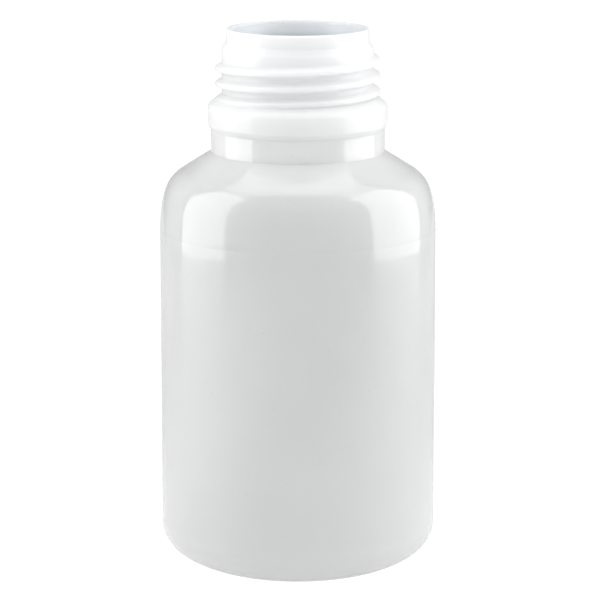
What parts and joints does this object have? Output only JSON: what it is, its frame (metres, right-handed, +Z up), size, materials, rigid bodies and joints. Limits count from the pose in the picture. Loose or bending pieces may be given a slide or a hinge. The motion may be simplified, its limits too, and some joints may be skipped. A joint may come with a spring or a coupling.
{
  "type": "reagent bottle",
  "caption": "Open wide-neck reagent bottle in translucent natural polyethylene: round body, sloped shoulder, collar and right-hand screw thread, no closure.",
  "frame": {"origin": "centre of the contact ring's plane, on the bottle's axis, where it stands on the floor", "axes": "+Z up along the bottle's axis to the mouth, +X along the base's pinch-off seam, -Y towards the viewer of the front view"},
  "size_m": [0.076, 0.076, 0.148],
  "materials": {
    "natural_polyethylene": "satin, milky translucent"
  },
  "bodies": {
    "root": {"bottle": "natural_polyethylene"}
  },
  "joints": []
}
